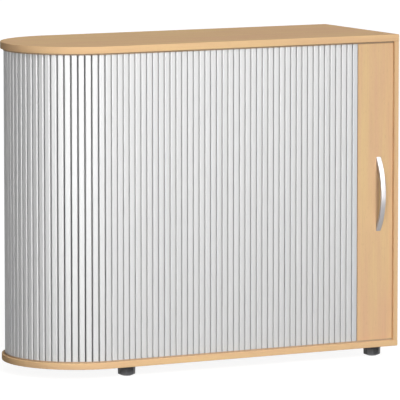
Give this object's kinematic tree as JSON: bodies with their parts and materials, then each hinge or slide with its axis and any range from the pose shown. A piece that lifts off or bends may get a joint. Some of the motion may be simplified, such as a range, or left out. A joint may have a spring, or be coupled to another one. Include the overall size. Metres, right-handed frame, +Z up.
{
  "type": "tambour door cabinet",
  "caption": "Low office cabinet with one half-round end and a tambour door of upright slats, led by a wood-faced panel with a bow handle.",
  "frame": {"origin": "on the floor, in the middle of the cabinet's length and of its depth with the handle counted in", "axes": "+X to the right along the cabinet, away from the round end; +Y to the back; +Z up. The door and handle face -Y"},
  "size_m": [1.051, 0.4206, 0.863],
  "materials": {
    "beech_board": "beech-look facing, satin",
    "beech_edging": "beech-look edging, satin",
    "slat_plastic": "light grey extruded slats, satin",
    "lead_slat_plastic": "light blue-grey extrusion, satin",
    "track_plastic": "brown extruded track",
    "handle_metal": "satin",
    "pin_steel": "zinc plated",
    "black_plastic": "moulded, fine grain",
    "buffer_rubber": "clear soft rubber"
  },
  "bodies": {
    "case": {"base_panel": "beech_board", "top_panel": "beech_board", "right_side_panel": "beech_board", "partition_panel": "beech_board", "inner_back_panel": "beech_board", "outer_back_panel": "beech_board", "shelf_board": "beech_board", "base_edge_band": "beech_edging", "top_edge_band": "beech_edging", "side_edge_band": "beech_edging", "shelf_edge_band": "beech_edging", "lower_track": "track_plastic", "upper_track": "track_plastic", "door_stop_lower": "buffer_rubber", "door_stop_upper": "buffer_rubber", "shelf_pin_left_front": "pin_steel", "shelf_pin_right_front": "pin_steel", "shelf_pin_left_back": "pin_steel", "shelf_pin_right_back": "pin_steel", "curtain_round_end": "slat_plastic", "foot_socket_front_left": "black_plastic", "foot_socket_front_right": "black_plastic", "foot_socket_back_left": "black_plastic", "foot_socket_back_right": "black_plastic"},
    "door": {"door_panel": "beech_board", "curtain_lead_slat": "lead_slat_plastic", "handle_bar": "handle_metal", "handle_screw_lower": "pin_steel", "handle_screw_upper": "pin_steel", "door_glide_lower_left": "black_plastic", "door_glide_upper_left": "black_plastic", "door_glide_lower_right": "black_plastic", "door_glide_upper_right": "black_plastic"},
    "strip_01": {"curtain_strip_01": "slat_plastic"},
    "strip_02": {"curtain_strip_02": "slat_plastic"},
    "strip_03": {"curtain_strip_03": "slat_plastic"},
    "strip_04": {"curtain_strip_04": "slat_plastic"},
    "strip_05": {"curtain_strip_05": "slat_plastic"},
    "strip_06": {"curtain_strip_06": "slat_plastic"},
    "strip_07": {"curtain_strip_07": "slat_plastic"},
    "strip_08": {"curtain_strip_08": "slat_plastic"},
    "strip_09": {"curtain_strip_09": "slat_plastic"},
    "strip_10": {"curtain_strip_10": "slat_plastic"},
    "strip_11": {"curtain_strip_11": "slat_plastic"},
    "strip_12": {"curtain_strip_12": "slat_plastic"},
    "strip_13": {"curtain_strip_13": "slat_plastic"},
    "strip_14": {"curtain_strip_14": "slat_plastic"},
    "strip_15": {"curtain_strip_15": "slat_plastic"},
    "strip_16": {"curtain_strip_16": "slat_plastic"},
    "strip_17": {"curtain_strip_17": "slat_plastic"},
    "strip_18": {"curtain_strip_18": "slat_plastic"},
    "strip_19": {"curtain_strip_19": "slat_plastic"},
    "strip_20": {"curtain_strip_20": "slat_plastic"},
    "foot_front_left": {"foot_pad_front_left": "black_plastic"},
    "foot_front_right": {"foot_pad_front_right": "black_plastic"},
    "foot_back_left": {"foot_pad_back_left": "black_plastic"},
    "foot_back_right": {"foot_pad_back_right": "black_plastic"}
  },
  "joints": [
    {"name": "door_slide", "type": "slide", "parent": "case", "child": "door", "axis": [-1, 0, 0], "range_m": [0, 0.676]},
    {"name": "strip_01_slide", "type": "slide", "parent": "case", "child": "strip_01", "axis": [-1, 0, 0], "range_m": [0, 0.0339], "deforming": ["curtain_strip_01"]},
    {"name": "strip_02_slide", "type": "slide", "parent": "case", "child": "strip_02", "axis": [-1, 0, 0], "range_m": [0, 0.0677], "deforming": ["curtain_strip_02"]},
    {"name": "strip_03_slide", "type": "slide", "parent": "case", "child": "strip_03", "axis": [-1, 0, 0], "range_m": [0, 0.1015], "deforming": ["curtain_strip_03"]},
    {"name": "strip_04_slide", "type": "slide", "parent": "case", "child": "strip_04", "axis": [-1, 0, 0], "range_m": [0, 0.1353], "deforming": ["curtain_strip_04"]},
    {"name": "strip_05_slide", "type": "slide", "parent": "case", "child": "strip_05", "axis": [-1, 0, 0], "range_m": [0, 0.1691], "deforming": ["curtain_strip_05"]},
    {"name": "strip_06_slide", "type": "slide", "parent": "case", "child": "strip_06", "axis": [-1, 0, 0], "range_m": [0, 0.2029], "deforming": ["curtain_strip_06"]},
    {"name": "strip_07_slide", "type": "slide", "parent": "case", "child": "strip_07", "axis": [-1, 0, 0], "range_m": [0, 0.2367], "deforming": ["curtain_strip_07"]},
    {"name": "strip_08_slide", "type": "slide", "parent": "case", "child": "strip_08", "axis": [-1, 0, 0], "range_m": [0, 0.2705], "deforming": ["curtain_strip_08"]},
    {"name": "strip_09_slide", "type": "slide", "parent": "case", "child": "strip_09", "axis": [-1, 0, 0], "range_m": [0, 0.3043], "deforming": ["curtain_strip_09"]},
    {"name": "strip_10_slide", "type": "slide", "parent": "case", "child": "strip_10", "axis": [-1, 0, 0], "range_m": [0, 0.3381], "deforming": ["curtain_strip_10"]},
    {"name": "strip_11_slide", "type": "slide", "parent": "case", "child": "strip_11", "axis": [-1, 0, 0], "range_m": [0, 0.3719], "deforming": ["curtain_strip_11"]},
    {"name": "strip_12_slide", "type": "slide", "parent": "case", "child": "strip_12", "axis": [-1, 0, 0], "range_m": [0, 0.4057], "deforming": ["curtain_strip_12"]},
    {"name": "strip_13_slide", "type": "slide", "parent": "case", "child": "strip_13", "axis": [-1, 0, 0], "range_m": [0, 0.4395], "deforming": ["curtain_strip_13"]},
    {"name": "strip_14_slide", "type": "slide", "parent": "case", "child": "strip_14", "axis": [-1, 0, 0], "range_m": [0, 0.4733], "deforming": ["curtain_strip_14"]},
    {"name": "strip_15_slide", "type": "slide", "parent": "case", "child": "strip_15", "axis": [-1, 0, 0], "range_m": [0, 0.5071], "deforming": ["curtain_strip_15"]},
    {"name": "strip_16_slide", "type": "slide", "parent": "case", "child": "strip_16", "axis": [-1, 0, 0], "range_m": [0, 0.5409], "deforming": ["curtain_strip_16"]},
    {"name": "strip_17_slide", "type": "slide", "parent": "case", "child": "strip_17", "axis": [-1, 0, 0], "range_m": [0, 0.5747], "deforming": ["curtain_strip_17"]},
    {"name": "strip_18_slide", "type": "slide", "parent": "case", "child": "strip_18", "axis": [-1, 0, 0], "range_m": [0, 0.6085], "deforming": ["curtain_strip_18"]},
    {"name": "strip_19_slide", "type": "slide", "parent": "case", "child": "strip_19", "axis": [-1, 0, 0], "range_m": [0, 0.6423], "deforming": ["curtain_strip_19"]},
    {"name": "strip_20_slide", "type": "slide", "parent": "case", "child": "strip_20", "axis": [-1, 0, 0], "range_m": [0, 0.6761], "deforming": ["curtain_strip_20"]},
    {"name": "foot_front_left_height", "type": "slide", "parent": "case", "child": "foot_front_left", "axis": [0, 0, -1], "range_m": [0, 0.01]},
    {"name": "foot_front_right_height", "type": "slide", "parent": "case", "child": "foot_front_right", "axis": [0, 0, -1], "range_m": [0, 0.01]},
    {"name": "foot_back_left_height", "type": "slide", "parent": "case", "child": "foot_back_left", "axis": [0, 0, -1], "range_m": [0, 0.01]},
    {"name": "foot_back_right_height", "type": "slide", "parent": "case", "child": "foot_back_right", "axis": [0, 0, -1], "range_m": [0, 0.01]}
  ],
  "couplings": [
    {"joint": "strip_01_slide", "follows": "door_slide", "ratio": 0.05},
    {"joint": "strip_02_slide", "follows": "door_slide", "ratio": 0.1},
    {"joint": "strip_03_slide", "follows": "door_slide", "ratio": 0.15},
    {"joint": "strip_04_slide", "follows": "door_slide", "ratio": 0.2},
    {"joint": "strip_05_slide", "follows": "door_slide", "ratio": 0.25},
    {"joint": "strip_06_slide", "follows": "door_slide", "ratio": 0.3},
    {"joint": "strip_07_slide", "follows": "door_slide", "ratio": 0.35},
    {"joint": "strip_08_slide", "follows": "door_slide", "ratio": 0.4},
    {"joint": "strip_09_slide", "follows": "door_slide", "ratio": 0.45},
    {"joint": "strip_10_slide", "follows": "door_slide", "ratio": 0.5},
    {"joint": "strip_11_slide", "follows": "door_slide", "ratio": 0.55},
    {"joint": "strip_12_slide", "follows": "door_slide", "ratio": 0.6},
    {"joint": "strip_13_slide", "follows": "door_slide", "ratio": 0.65},
    {"joint": "strip_14_slide", "follows": "door_slide", "ratio": 0.7},
    {"joint": "strip_15_slide", "follows": "door_slide", "ratio": 0.75},
    {"joint": "strip_16_slide", "follows": "door_slide", "ratio": 0.8},
    {"joint": "strip_17_slide", "follows": "door_slide", "ratio": 0.85},
    {"joint": "strip_18_slide", "follows": "door_slide", "ratio": 0.9},
    {"joint": "strip_19_slide", "follows": "door_slide", "ratio": 0.95},
    {"joint": "strip_20_slide", "follows": "door_slide", "ratio": 1}
  ]
}
